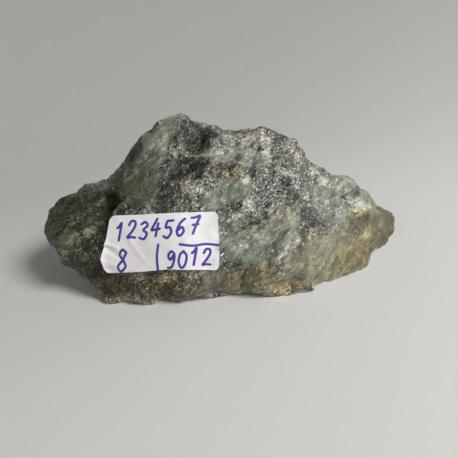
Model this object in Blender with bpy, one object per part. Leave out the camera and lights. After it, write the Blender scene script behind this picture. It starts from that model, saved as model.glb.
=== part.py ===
"""Emerald in matrix: a hand-sized piece of dark mica schist that holds crystals of emerald, the green
beryl, and carries a small paper price label on its front.

Units are metres with +Z up. +X runs along the rock to its pointed end and +Y to its back. The origin
is on the surface that the rock rests on, below the middle of the rock's box.
"""

import bmesh
import bpy
import numpy as np
from mathutils import Matrix, Vector, kdtree
from mathutils.bvhtree import BVHTree

MM = 0.001

# The rock's rough form, as lumps. Each is the convex hull of a few points in millimetres: x along the
# rock, y to the back, z up from the surface that the rock rests on. They reach below it and are cut off.
LUMPS = {
    "main block": [
        (-23, -17, -2), (-9, -17, -2), (2, -17, -2), (14, -19.5, -2), (20, -16, -2),
        (-20, 13, -2), (-6, 18, -2), (10, 17, -2), (18, 12, -2),
        (-26.5, -18.8, 8.5), (-14, -20.6, 7.5), (-3, -20.6, 7.5), (12, -19.4, 6),
        (-25, 15, 8), (-6, 21, 10), (11, 20, 9), (21, 14, 8),
        (-24, -14.2, 19.5), (-2.4, -15.2, 19), (12, -12.5, 19), (20, -10, 15),
        (-14, -2, 32.5), (-3.5, -1, 34.3), (3, -1, 32.2), (13, -2, 30.2),
        (-13, 8, 29.5), (0, 10, 29.5), (12, 8, 27.5),
    ],
    "peak": [
        (-23.9, -2, 29.6), (-20.3, -2, 33.2), (-15.0, -3, 35.1), (-12.6, -3, 37.6),
        (-10.0, -2, 36.4), (-7.6, -2, 35.4), (-4.6, 0, 34.2),
        (-25, -9, 21), (-17, -9.5, 24.5), (-9, -7.5, 27), (-14, 5, 32), (-9, 6, 31.5), (-21, 6, 25),
    ],
    "left lobe": [
        (-41.6, -9.6, 13.0), (-42.3, -6, 18.4), (-40.2, -4, 22.0), (-35.6, -3, 21.2), (-28.3, -2, 20.2),
        (-36.8, -12, 11.0), (-34.6, -14.2, 6.6), (-31.8, -16.2, 2.6), (-27.6, -17.0, -1.0),
        (-36.4, -13.8, 15), (-32.5, -15.6, 17), (-29.5, -17.2, 9),
        (-41, 2, 9), (-38.5, 9, 12), (-36, 8, 3), (-28, 12, 1), (-30, 15, 10), (-31, 10, 17), (-24, 10, 21),
        (-22, -14, 0), (-22, -14, 12), (-22, 6, 20),
    ],
    "left slope": [
        (-30, -3, 19.6), (-26.0, -3, 23.3), (-22.2, -3, 29.0), (-27.5, -8.5, 21.5), (-22, -9, 24),
        (-27, 7, 21), (-20, 8, 26), (-18, 0, 20), (-26, 0, 16),
    ],
    "knob": [
        (8.3, -2, 32.6), (13.9, -2, 32.3), (15.2, -2, 28.7), (20.9, -2, 23.6), (23, -2, 22),
        (8, -9, 25), (15, -9.5, 22), (20, -9, 18), (8, 7, 28.5), (14, 7, 26.5), (20, 7, 19.5),
        (4, -2, 24), (23, 6, 15), (10, 0, 12),
    ],
    "right shoulder": [
        (23, -2, 21.4), (27.5, -2, 20.0), (32.2, -2, 16.9), (35.7, -2, 13.6), (24, -9, 17.5), (30, -9, 14),
        (17, -12.5, 15.5), (17, -14, 6), (24, -14, 5), (27, 8, 15.5), (33, 7, 11), (30, 12, 6), (20, 13, 9),
        (18, 12, 0), (26, 10, -1), (22, -12, -2), (33, -6, 4),
    ],
    "right wedge": [
        (35.8, -2, 12.8), (39.4, -2, 10.2), (42.2, -4, 8.6), (41.6, -5.8, 4.9), (35.4, -7.3, 3.2),
        (31.4, -10, 1.4), (28.4, -14.8, -1.5), (24.4, -16.6, -1.5), (20, -17, 1), (17.5, -17.4, 5),
        (26.5, -11.6, 12.8), (33.4, -8.6, 12.0), (39, 5, 6), (36, 9, 7), (30, 12, 4), (30, 4, -0.6), (20, 4, -1),
    ],
    "front mass": [
        (-2, -19.6, 4), (5, -20.3, 7.5), (13, -20.0, 9), (20, -16.8, 12), (17, -19.0, 4), (8, -20.2, 3),
        (-1, -16.4, 15.5), (11, -15.0, 17), (24, -12.5, 13.5), (5, -8, 6), (16, -8, 6), (16.6, -21.4, -1.5),
        (19, -19.2, -1.5),
    ],
    "foot": [
        (-8, -18.6, 0.2), (-4.5, -19.6, -1), (-1.6, -19.4, -1), (0.6, -19.4, 3.5), (-4, -20.2, 5.5),
        (-1, -20.3, 7), (-6, -12, -1), (1, -12, -1), (0, -14, 8),
    ],
    "left foot": [
        (-26.8, -15.8, -2), (-21, -19.4, -2), (-15, -19.2, -2), (-27, -18.2, 4), (-20, -20.0, 5),
        (-25, -8, -1), (-14, -8, -1), (-20, -10, 8),
    ],
}

# Hollows broken out of the form, as ellipsoids: centre, then radii along x, y and z, in millimetres.
HOLLOWS = {
    "notch beside the peak": ((-5.2, -6.6, 31.6), (2.6, 4.6, 5.6)),
    "groove behind the left lobe": ((-26.2, -8.0, 22.4), (3.2, 8.5, 6.5)),
    "saddle": ((3.5, 3.0, 35.2), (6.0, 9.0, 3.0)),
    "step under the knob": ((24.6, -8.0, 24.6), (3.6, 6.5, 4.6)),
    "gap under the foot": ((4.6, -22.5, -0.9), (3.4, 7.0, 1.9)),
    "gap under the front": ((10.6, -22.5, -0.9), (1.7, 5.0, 1.5)),
    "groove beside the foot": ((-6.6, -20.6, 2.6), (1.2, 1.6, 3.2)),
    "back hollow": ((6.0, 24.0, 20.0), (9.0, 8.0, 6.0)),
    "back left hollow": ((-22.0, 19.0, 16.0), (6.0, 6.5, 7.0)),
}

# The share of its smallest radius that a hollow is pressed in by, and the sizes of the working meshes.
HOLLOW_DEPTH = 0.8
VOXEL, FINE_VOXEL = 0.8, 0.5
FORM_SMOOTHING, HOLLOW_SMOOTHING = 4, 2

# Schist breaks in facets that run with its layers, which dip to the left across the front. Each kind of
# facet has its size in millimetres, how far it may move the surface, its random lean and its seed.
LAYER_ALONG = Vector((0.74, 0.12, 0.66)).normalized()
LAYER_STRETCH = 1.7
COARSE_FACETS = (10.0, 1.1, 0.15, 11)
FINE_FACETS = (4.6, 0.6, 0.20, 12)
SITE_JITTER = 0.45
SAME_SIDE = 0.3
STEEPEST = 0.5
BOX_REACH = (50, 30, 42)
ROCK_TRIANGLES = 6200
GROUND_BLOCK = (200, 200, 20)

# The emerald crystals are rough six-sided prisms, which is how beryl grows. Each is held by the rock
# and is broken off level with it: the middle of the prism, its axis, its width, its length and a seed.
CRYSTALS = {
    "emerald_crystal_top": ((-12.9, -4.0, 30.4), (0.36, 0.42, 0.83), 7.2, 17.5, 21),
    "emerald_crystal_upper": ((1.8, -5.4, 28.6), (0.80, 0.36, 0.48), 5.2, 11.0, 22),
    "emerald_crystal_front": ((11.2, -14.6, 9.8), (0.97, 0.17, 0.18), 9.4, 25.0, 23),
    "emerald_crystal_right": ((35.4, -4.0, 7.2), (0.79, 0.48, 0.38), 13.4, 20.0, 24),
    "emerald_crystal_foot": ((-2.6, -18.6, 3.4), (0.45, 0.10, 0.89), 4.6, 7.4, 25),
}
SIDES = 6
RINGS = 4
SIDE_ROUGH = 0.10
END_SLANT = 0.22
SEAM = 0.3

# The paper label: 26 by 12 mm as it was cut, with round corners, and a little crumpled at its left.
LABEL_CENTRE = (-13.9, -17.8, 14.2)
LABEL_RIGHT = (0.9988, -0.0462, -0.0185)
LABEL_UP = (0.0374, 0.4524, 0.8910)
LABEL_OUTLINE = [
    (-10.4, 6.1), (-5.0, 6.0), (3.0, 6.1), (10.8, 6.1), (11.6, 5.4), (11.7, 0.0), (11.5, -5.3),
    (10.6, -6.1), (6.5, -5.7), (1.4, -5.3), (-4.8, -5.7), (-11.4, -5.9), (-12.5, -5.2), (-13.0, -2.8),
    (-12.2, -0.7), (-11.5, 1.3), (-10.8, 5.0),
]
LABEL_THICKNESS = 0.25
LABEL_GAP = 0.3
LABEL_STEP = 2.0
LABEL_MERGE = 0.3
LABEL_FEELERS = (0.5, 1.0)
LABEL_ROUNDS = 12
RAY_START = 8.0
LABEL_LOWEST = -2.0


def clear_scene():
    for obj in list(bpy.data.objects):
        bpy.data.objects.remove(obj, do_unlink=True)


def material(name, colour, roughness):
    made = bpy.data.materials.new(name)
    made.use_nodes = True
    shader = made.node_tree.nodes["Principled BSDF"]
    shader.inputs["Base Color"].default_value = (*colour, 1)
    shader.inputs["Roughness"].default_value = roughness
    shader.inputs["Metallic"].default_value = 0
    return made


def new_object(name, mesh, finish=None):
    obj = bpy.data.objects.new(name, mesh)
    bpy.context.scene.collection.objects.link(obj)
    if finish:
        mesh.materials.clear()
        mesh.materials.append(finish)
    return obj


def mesh_from(name, bm):
    mesh = bpy.data.meshes.new(name)
    bm.to_mesh(mesh)
    bm.free()
    return mesh


def applied(obj):
    """The object's mesh with its modifiers in it, and the object taken away."""
    view = bpy.context.evaluated_depsgraph_get()
    mesh = bpy.data.meshes.new_from_object(obj.evaluated_get(view))
    bpy.data.objects.remove(obj, do_unlink=True)
    return mesh


def with_modifier(mesh, kind, **settings):
    obj = new_object("work", mesh)
    modifier = obj.modifiers.new(kind.title(), kind)
    for key, value in settings.items():
        setattr(modifier, key, value)
    return applied(obj)


def coordinates(mesh):
    points = np.empty(len(mesh.vertices) * 3)
    mesh.vertices.foreach_get("co", points)
    return points.reshape(-1, 3)


def normals(mesh):
    found = np.empty(len(mesh.vertices) * 3)
    mesh.vertex_normals.foreach_get("vector", found)
    return found.reshape(-1, 3)


def move_points(mesh, points):
    mesh.vertices.foreach_set("co", points.ravel())
    mesh.update()


def lump_form():
    """All lumps fused into one smooth body."""
    bm = bmesh.new()
    for points in LUMPS.values():
        corners = [bm.verts.new(Vector(p) * MM) for p in points]
        hull = bmesh.ops.convex_hull(bm, input=corners)
        unused = [v for v in hull["geom_interior"] + hull["geom_unused"] if isinstance(v, bmesh.types.BMVert)]
        bmesh.ops.delete(bm, geom=list(set(unused)), context="VERTS")
    bmesh.ops.recalc_face_normals(bm, faces=bm.faces)
    mesh = with_modifier(mesh_from("form", bm), "REMESH", mode="VOXEL", voxel_size=VOXEL * MM)
    return with_modifier(mesh, "SMOOTH", factor=0.5, iterations=FORM_SMOOTHING)


def hollowed(mesh):
    """The form with its hollows pressed in, each deepest at the middle of its ellipsoid."""
    points = coordinates(mesh) / MM
    for centre, radii in HOLLOWS.values():
        offset = (points - centre) / radii
        distance = np.linalg.norm(offset, axis=1)
        inside = distance < 1
        depth = (1 - distance[inside] ** 2) * min(radii) * HOLLOW_DEPTH
        points[inside] -= normals(mesh)[inside] * depth[:, None]
    move_points(mesh, points * MM)
    return with_modifier(mesh, "SMOOTH", factor=0.5, iterations=HOLLOW_SMOOTHING)


def stretched(points):
    """Points as measured along the layers, where a facet is longer than it is wide."""
    along = np.array(LAYER_ALONG)
    run = points @ along
    return points - np.outer(run, along) * (1 - 1 / LAYER_STRETCH)


def scattered_sites(spacing, lean, rng):
    """Points scattered evenly through the rock's box, each with a random lean."""
    steps = [np.arange(-reach, reach + spacing, spacing) for reach in BOX_REACH]
    grid = np.stack(np.meshgrid(*steps, indexing="ij"), axis=-1).reshape(-1, 3)
    sites = grid + rng.uniform(-SITE_JITTER, SITE_JITTER, grid.shape) * spacing
    return sites, rng.normal(0, lean, grid.shape)


def broken_in_facets(mesh, facets):
    """The surface broken into facets: all points nearest to one site are drawn into one leaning plane."""
    spacing, reach, lean, seed = facets
    points = coordinates(mesh) / MM
    directions = normals(mesh)
    flat = stretched(points)
    sites, leans = scattered_sites(spacing, lean, np.random.default_rng(seed))
    tree = kdtree.KDTree(len(sites))
    for number, site in enumerate(sites):
        tree.insert(site, number)
    tree.balance()
    owner = np.array([tree.find(p)[1] for p in flat])
    height = np.zeros(len(points))
    for number in np.unique(owner):
        own = np.flatnonzero(owner == number)
        nearest = own[np.argmin(np.linalg.norm(flat[own] - sites[number], axis=1))]
        own = own[directions[own] @ directions[nearest] > SAME_SIDE]
        plane = directions[own].mean(axis=0)
        plane = plane / np.linalg.norm(plane) + leans[number]
        plane /= np.linalg.norm(plane)
        facing = np.clip(directions[own] @ plane, STEEPEST, 1)
        height[own] = ((points[own].mean(axis=0) - points[own]) @ plane) / facing
    height = reach * np.tanh(height / reach)
    move_points(mesh, (points + directions * height[:, None]) * MM)


def lightened(mesh, triangles):
    """The surface made sound where facets cross, with about this many triangles."""
    mesh = with_modifier(mesh, "REMESH", mode="VOXEL", voxel_size=FINE_VOXEL * MM)
    mesh = with_modifier(mesh, "TRIANGULATE")
    share = min(1, triangles / len(mesh.polygons))
    return with_modifier(mesh, "DECIMATE", ratio=share, use_collapse_triangulate=True)


def largest_body(mesh):
    """The biggest connected body of a mesh, without the crumbs that a cut leaves."""
    bm = bmesh.new()
    bm.from_mesh(mesh)
    bm.verts.ensure_lookup_table()
    left = set(bm.verts)
    bodies = []
    while left:
        front = [left.pop()]
        body = set(front)
        while front:
            for edge in front.pop().link_edges:
                for vert in edge.verts:
                    if vert in left:
                        left.discard(vert)
                        body.add(vert)
                        front.append(vert)
        bodies.append(body)
    bodies.sort(key=len)
    crumbs = [vert for body in bodies[:-1] for vert in body]
    bmesh.ops.delete(bm, geom=crumbs, context="VERTS")
    bm.to_mesh(mesh)
    bm.free()
    return mesh


def prism(name, place, grow=0.0):
    """A rough six-sided prism, its ends broken at a slant, as a closed mesh that can be grown."""
    centre, axis, width, length, seed = place
    rng = np.random.default_rng(seed)
    corner_radius = width / 2 / np.cos(np.pi / SIDES)
    points = []
    for ring in range(RINGS):
        share = ring / (RINGS - 1)
        end = {0: -1, RINGS - 1: 1}.get(ring, 0)
        for side in range(SIDES):
            turn = 2 * np.pi * side / SIDES
            radius = corner_radius * (1 + rng.uniform(-SIDE_ROUGH, SIDE_ROUGH)) + grow
            slant = rng.uniform(-END_SLANT, END_SLANT) * width * abs(end)
            along = length * (share - 0.5) + slant + grow * end
            points.append((radius * np.cos(turn), radius * np.sin(turn), along))
    faces = [list(range(SIDES)), list(range((RINGS - 1) * SIDES, RINGS * SIDES))]
    for ring in range(RINGS - 1):
        for side in range(SIDES):
            beside = (side + 1) % SIDES
            low, high = ring * SIDES, (ring + 1) * SIDES
            faces.append([low + side, low + beside, high + beside, high + side])
    forward = Vector(axis).normalized()
    side = forward.cross(Vector((0, -1, 0))).normalized()
    across = forward.cross(side)
    turn = Matrix((side, across, forward)).transposed().to_4x4()
    mesh = bpy.data.meshes.new(name)
    mesh.from_pydata([Vector(p) * MM for p in points], [], faces)
    bm = bmesh.new()
    bm.from_mesh(mesh)
    bm.transform(Matrix.Translation(Vector(centre) * MM) @ turn)
    bmesh.ops.triangulate(bm, faces=bm.faces)
    bmesh.ops.recalc_face_normals(bm, faces=bm.faces)
    bm.to_mesh(mesh)
    bm.free()
    return new_object(name, mesh)


def cut_with(mesh, cutter, operation):
    """The mesh cut by a closed cutter. The exact solver loses the rock where two pockets come close."""
    mesh = with_modifier(mesh, "BOOLEAN", operation=operation, solver="MANIFOLD", object=cutter)
    return with_modifier(mesh, "TRIANGULATE")


def cut_flat(mesh):
    """The surface cut level where the rock rests, and closed there."""
    size = Vector(GROUND_BLOCK) * MM
    bm = bmesh.new()
    bmesh.ops.create_cube(bm, size=1)
    bm.transform(Matrix.Translation((0, 0, -size.z / 2)) @ Matrix.Diagonal((*size, 1)))
    ground = new_object("ground", mesh_from("ground", bm))
    mesh = cut_with(mesh, ground, "DIFFERENCE")
    bpy.data.objects.remove(ground, do_unlink=True)
    return mesh


def outline_path(step):
    """The label's outline with points about one step apart."""
    path = []
    for start, end in zip(LABEL_OUTLINE, LABEL_OUTLINE[1:] + LABEL_OUTLINE[:1]):
        start, end = Vector(start), Vector(end)
        count = max(1, round((end - start).length / step))
        path += [start.lerp(end, i / count) for i in range(count)]
    return path


def label_sheet():
    """The label as a flat sheet of triangles in its own plane, in millimetres."""
    bm = bmesh.new()
    rim = [bm.verts.new((p.x, p.y, 0)) for p in outline_path(LABEL_STEP)]
    face = bm.faces.new(rim)
    bmesh.ops.triangulate(bm, faces=[face])
    half = max(max(abs(u), abs(v)) for u, v in LABEL_OUTLINE)
    for axis in (0, 1):
        for place in np.arange(-half, half, LABEL_STEP):
            where = [0, 0, 0]
            where[axis] = place
            towards = [0, 0, 0]
            towards[axis] = 1
            everything = bm.verts[:] + bm.edges[:] + bm.faces[:]
            bmesh.ops.bisect_plane(bm, geom=everything, plane_co=where, plane_no=towards, dist=1e-4)
    bmesh.ops.remove_doubles(bm, verts=bm.verts, dist=LABEL_MERGE)
    bmesh.ops.triangulate(bm, faces=bm.faces)
    return bm


def resting_heights(bm, rock, right, up, out, centre):
    """How far above its own plane each point of the label lies, so that it clears the rock."""
    tree = BVHTree.FromPolygons([v.co for v in rock.vertices], [p.vertices[:] for p in rock.polygons])
    around = [(0, 0)]
    for reach in LABEL_FEELERS:
        around += [(reach * np.cos(a), reach * np.sin(a)) for a in np.arange(8) * np.pi / 4]
    heights = []
    for vert in bm.verts:
        highest = LABEL_LOWEST
        for dx, dy in around:
            start = centre + right * (vert.co.x + dx) + up * (vert.co.y + dy) + out * RAY_START
            hit, _, _, distance = tree.ray_cast(start * MM, -out)
            if hit:
                highest = max(highest, RAY_START - distance / MM)
        heights.append(highest)
    return np.array(heights)


def paper_label(rock, finish):
    """The label laid on the rock: it bridges the rock's small hollows and clears it everywhere."""
    right, up = Vector(LABEL_RIGHT).normalized(), Vector(LABEL_UP).normalized()
    out = right.cross(up)
    centre = Vector(LABEL_CENTRE)
    bm = label_sheet()
    floor = resting_heights(bm, rock, right, up, out, centre)
    bm.verts.ensure_lookup_table()
    bm.verts.index_update()
    height = floor.copy()
    for _ in range(LABEL_ROUNDS):
        beside = [np.mean([height[e.other_vert(v).index] for e in v.link_edges]) for v in bm.verts]
        height = np.maximum(floor, np.array(beside))
    for vert, rise in zip(bm.verts, height):
        vert.co = (centre + right * vert.co.x + up * vert.co.y + out * (rise + LABEL_GAP)) * MM
    for face in bm.faces:
        if face.normal.dot(out) < 0:
            face.normal_flip()
    bm.normal_update()
    shape = bmesh.ops.extrude_face_region(bm, geom=bm.faces[:])
    front = [item for item in shape["geom"] if isinstance(item, bmesh.types.BMVert)]
    bmesh.ops.translate(bm, verts=front, vec=out * LABEL_THICKNESS * MM)
    bmesh.ops.recalc_face_normals(bm, faces=bm.faces)
    return new_object("paper_label", mesh_from("paper_label", bm), finish)


def rock_surface():
    """The whole rock with its rough, broken surface, before the crystals are parted from it."""
    mesh = hollowed(lump_form())
    broken_in_facets(mesh, COARSE_FACETS)
    broken_in_facets(mesh, FINE_FACETS)
    return cut_flat(lightened(mesh, ROCK_TRIANGLES))


def set_on_origin(objects):
    """Moves everything so that the origin is at the bottom middle of the whole."""
    points = np.concatenate([coordinates(obj.data) for obj in objects])
    low, high = points.min(axis=0), points.max(axis=0)
    shift = Vector((-(low[0] + high[0]) / 2, -(low[1] + high[1]) / 2, -low[2]))
    for obj in objects:
        obj.data.transform(Matrix.Translation(shift))
    print("moved by", [round(s / MM, 3) for s in shift], "size", [round(s / MM, 2) for s in high - low])


def build():
    clear_scene()
    schist = material("schist", (0.085, 0.083, 0.072), 0.55)
    beryl = material("emerald", (0.22, 0.27, 0.20), 0.28)
    paper = material("paper", (0.85, 0.84, 0.85), 0.75)

    rock = rock_surface()
    objects = []
    for name, place in CRYSTALS.items():
        cutter, pocket = prism("cutter", place), prism("pocket", place, SEAM)
        crystal = largest_body(cut_with(rock.copy(), cutter, "INTERSECT"))
        crystal.name = name
        objects.append(new_object(name, crystal, beryl))
        rock = largest_body(cut_with(rock, pocket, "DIFFERENCE"))
        for used in (cutter, pocket):
            bpy.data.objects.remove(used, do_unlink=True)
    label = paper_label(rock, paper)
    rock.name = "schist_matrix"
    objects.append(new_object("schist_matrix", rock, schist))
    objects.append(label)
    set_on_origin(objects)
    for obj in objects:
        print(obj.name, len(obj.data.polygons))


build()
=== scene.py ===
"""The looks of the emerald in matrix: the broken surface of the schist, the emerald crystals that it holds
and the paper label on its front.

Lengths in the constants are millimetres, and Blender's scene is in metres. +X runs along the rock to its
pointed end, +Y to its back, +Z up, and the rock rests on z = 0.
"""

import math

import bmesh
import bpy
import numpy as np
from mathutils import Matrix, Vector, kdtree, noise
from mathutils.bvhtree import BVHTree


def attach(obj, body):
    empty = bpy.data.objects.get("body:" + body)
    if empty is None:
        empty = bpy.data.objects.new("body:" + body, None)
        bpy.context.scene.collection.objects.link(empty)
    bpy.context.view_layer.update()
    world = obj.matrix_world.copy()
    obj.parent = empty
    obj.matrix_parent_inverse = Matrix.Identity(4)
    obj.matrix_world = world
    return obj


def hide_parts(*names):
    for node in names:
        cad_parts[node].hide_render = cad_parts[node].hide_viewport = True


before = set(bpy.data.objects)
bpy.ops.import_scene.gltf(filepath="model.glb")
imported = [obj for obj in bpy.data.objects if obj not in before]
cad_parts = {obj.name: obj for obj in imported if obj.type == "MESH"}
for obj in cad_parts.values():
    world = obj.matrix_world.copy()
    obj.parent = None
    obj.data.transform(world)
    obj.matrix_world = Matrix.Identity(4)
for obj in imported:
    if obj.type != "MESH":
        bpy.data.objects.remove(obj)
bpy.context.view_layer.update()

MM = 0.001

# The camera: where it is, how far it looks down, how far it is turned about its own line of sight, and
# its focal length in pixels of a square picture that is 458 pixels wide.
CAMERA_PLACE = (0.308, -79.394, 48.0)
CAMERA_PITCH, CAMERA_ROLL = 27.0, 4.3
FOCAL_PIXELS, PICTURE_PIXELS = 345, 458
SENSOR = 36

# The light: one soft lamp close by, above the right front, and an even glow from all round.
LAMP_PLACE, LAMP_AIM = (270, -195, 310), (0, 0, 12)
LAMP_SIZE, LAMP_WATTS = 145, 1.5
GLOW = 0.05

# The floor: its look, how far it is level, the radius of the sweep round it, the height of its rim, and in
# how many steps it sweeps up and goes round.
FLOOR_COLOUR, FLOOR_ROUGHNESS = (0.80, 0.79, 0.77, 1), 0.8
FLOOR_RADIUS, SWEEP_RADIUS, RIM_HEIGHT = 110, 360, 420
SWEEP_STEPS, FLOOR_STEPS = 24, 96

# Schist grows in layers, and the front shows their edges running up to the right.
LAYER_ALONG = Vector((0.74, 0.12, 0.66)).normalized()
LAYER_STRETCH = 1.7

# What the rock is made of from place to place, and where shade and warm reflected light are painted on it,
# as ellipsoids: centre, radii and strength. Where none reaches, it is plain grey mica schist.
BERYL_ZONES = [
    # the peak and the slope to its left
    ((-10.4, -2, 35.1), (2.6, 4, 2.2), 1),
    ((-12.6, -4.2, 32.8), (2.7, 4, 2), 1),
    ((-14, -5.3, 30.1), (3, 4, 2.6), 1),
    ((-16.4, -6.4, 27.8), (3.2, 3.5, 2.4), 1),
    ((-16.4, -3.8, 31.9), (2.6, 4, 2.6), 1),
    # above and left of the label
    ((-18.4, -9, 23.4), (5, 4.5, 4), 0.72),
    ((-33.6, -15, 15.2), (3, 3.5, 2.4), 0.6),
    ((-28.8, -12.8, 18.2), (2, 4, 3), 0.4),
    ((-31, -4.5, 20.6), (2.4, 4, 1.6), 0.2),
    # the upper middle
    ((2.2, -5.6, 27.9), (4.4, 3.5, 1.9), 1),
    ((-1.2, -5.6, 28.2), (2.6, 3.5, 1.5), 0.85),
    ((6.8, -6, 27.2), (3, 3.5, 1.3), 0.65),
    ((1.7, -10.9, 22.5), (4, 3.5, 2.5), 0.9),
    ((-2.5, -13.3, 20.9), (2.6, 3, 1.8), 0.8),
    ((2, -14.6, 17.4), (4, 3.5, 2.4), 0.4),
    # the band along the front
    ((1.5, -17.1, 13.6), (3, 3.5, 2.4), 0.75),
    ((6.8, -17.3, 13.3), (3.4, 3.5, 3.6), 0.85),
    ((2.5, -18.4, 10.5), (3.2, 3, 2), 0.85),
    ((12.1, -17.6, 11.6), (3.8, 3.5, 2.9), 1),
    ((17.1, -17.9, 10.8), (4, 3.5, 3.2), 1),
    ((23.3, -14.5, 8.8), (4.4, 4, 4.2), 1),
    ((22, -16.6, 5.6), (4.6, 3.5, 2.8), 0.8),
    ((14.2, -19.8, 7.9), (2.9, 3, 1.8), 0.7),
    ((12.9, -14.4, 16.9), (3.8, 3.5, 2.1), 1),
    ((11, -16.6, 14.6), (5, 3.5, 1.8), 0.8),
    ((6.5, -18.6, 10), (4, 3, 2.6), 0.7),
    ((19, -18, 7.6), (5, 3, 2.6), 0.9),
    ((5, -19.5, 5), (6, 3.5, 3.6), 0.5),
    ((13, -19.5, 5.8), (6, 3.5, 2.8), 0.6),
    ((20.5, -17.5, 4), (5, 4.5, 3.6), 0.72),
    # the shoulder and the right end
    ((26.4, -4, 19.5), (4.8, 4.5, 2.6), 0.85),
    ((22.1, -7.5, 17.7), (5, 3.5, 2.2), 0.8),
    ((32.6, -3.8, 16.6), (3.4, 4.5, 1.6), 0.9),
    ((24.6, -9.7, 14.5), (4.6, 3.5, 2.4), 0.6),
    ((28.4, -10.4, 11.3), (4, 3.5, 2.6), 1),
    ((35.5, -5, 10.5), (5.5, 6, 5), 1),
    ((31, -11.6, 5.4), (7, 6, 4.4), 1),
    ((34, -9, 2.4), (9, 6, 4), 1),
    ((39.5, -5, 6), (5, 6, 5), 0.9),
    ((26, -15.5, 2.2), (6, 5, 3), 0.85),
    # the foot
    ((-3.9, -19.2, 6.6), (2.5, 3.5, 3.4), 1),
    ((-0.3, -19.1, 4.4), (2.1, 3, 2.4), 0.7),
    # the back
    ((12, 13, 14.5), (7, 8, 3.4), 0.75),
    ((18, 12, 17), (6, 8, 2.6), 0.65),
    ((5, 15, 11), (5, 8, 2.4), 0.5),
    ((-13, 12, 24), (6, 8, 3.6), 0.75),
    ((-8, 11, 28), (4, 8, 2.4), 0.6),
    ((-18, 11, 19), (4, 8, 3), 0.5),
    ((31, 6, 10), (7, 8, 5), 0.9),
    ((-29, 9, 9), (6, 7, 4), 0.6),
    ((-4, 18, 7), (6, 6, 3), 0.5),
]
# Painted shade where the rock turns from the light or lies in a groove, notch or hollow, mixed with some
# black mica bands; SHADOW darkens the colour here.
SHADE_AND_DARK_ZONES = [
    # the left side and its groove
    ((-40, -8, 10), (17, 18, 17), 0.88),
    ((-20.8, -2.1, 28.7), (3.2, 6, 2), 1),
    ((-24.2, -3.3, 24.4), (2.6, 4, 2.4), 1),
    ((-26.3, -4.5, 20.5), (1.9, 5, 3.8), 0.6),
    ((-25.8, -1, 23), (1.8, 6, 2.4), 0.7),
    ((-27.1, -6.7, 16.8), (1.7, 4, 2.6), 0.6),
    ((-19.5, -10, 22.3), (5, 5, 3.4), 0.7),
    ((-15.6, -8.4, 25.6), (3.6, 3.5, 2), 0.6),
    ((-18.2, -4.2, 31), (1.8, 4, 2.6), 0.9),
    ((-14, -4.5, 31), (6, 5, 6), 0.2),
    ((-16.8, -5.9, 28.8), (3, 4, 2.4), 0.4),
    ((-20.3, -7.8, 25), (3.2, 4, 2.6), 0.3),
    ((-36.4, -7.4, 19), (5.2, 5.5, 2.6), 0.9),
    ((-40.5, -7, 16), (4.6, 8, 7), 0.55),
    ((-36.5, -12.1, 16.6), (2.4, 4, 2), 0.6),
    ((-31.6, -3.8, 21.5), (4.4, 4, 1.6), 0.8),
    ((-29.1, -15, 13.2), (3.2, 3.5, 2.8), 0.6),
    ((-30.7, -16, 8.9), (5.2, 4, 4), 0.78),
    # below the label
    ((-25.5, -17.5, 5.3), (4.4, 4, 3.6), 0.9),
    ((-18.2, -19.4, 4.4), (5.8, 3.5, 2.6), 0.7),
    ((-10.1, -20.7, 4.7), (4.6, 3.5, 3), 0.46),
    # right of the peak and down to the label
    ((-6, -2.6, 32.4), (4.8, 4.5, 4.2), 0.76),
    ((-3.3, -2.3, 30.8), (2.6, 4, 2.8), 0.65),
    ((-7.8, -7.8, 26.6), (5.2, 4, 2.8), 0.95),
    ((-12, -11.2, 22.4), (3.6, 4, 3.4), 0.68),
    ((-7, -12.5, 20.6), (4, 3, 2.2), 0.3),
    ((0.5, -13, 19.4), (2.3, 3, 1.1), 0.5),
    ((2, -9.2, 25.2), (4, 3.5, 1.4), 0.3),
    ((1.7, -10.9, 22.5), (4, 3.5, 2.5), 0.3),
    ((6.9, -8.1, 24.9), (1.4, 3, 1.2), 0.5),
    ((3.8, -6.1, 27.8), (0.9, 3, 0.8), 0.8),
    ((1.4, -8.2, 26.3), (2.8, 3, 0.7), 0.35),
    # the front and the shoulder
    ((29.6, -4.6, 17.6), (2.8, 3, 1.1), 0.6),
    ((17.2, -13.4, 15.4), (2.6, 3, 1.7), 0.48),
    ((20.9, -12.6, 13.7), (2.8, 3, 1.1), 0.5),
    ((4.3, -19.2, 5.9), (2.9, 3, 3.3), 0.5),
    ((-2.4, -19.3, 5.2), (3.4, 3.5, 4.4), 0.47),
    ((1.9, -18.4, 8.1), (1.6, 3, 1.6), 0.5),
    ((7.7, -15.5, 16.5), (1.8, 3, 1), 0.4),
    ((39, -6, 7.5), (6, 7, 6), 0.6),
    ((31, -12, 3.5), (6, 5, 3), 0.25),
    ((30.4, -9, 11.2), (4.2, 4.5, 2.4), 0.6),
    # the back
    ((2, 15, 12), (8, 7, 5), 0.6),
    ((-22, 12, 14), (6, 8, 6), 0.7),
    ((24, 12, 5), (8, 6, 4), 0.6),
]
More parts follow.
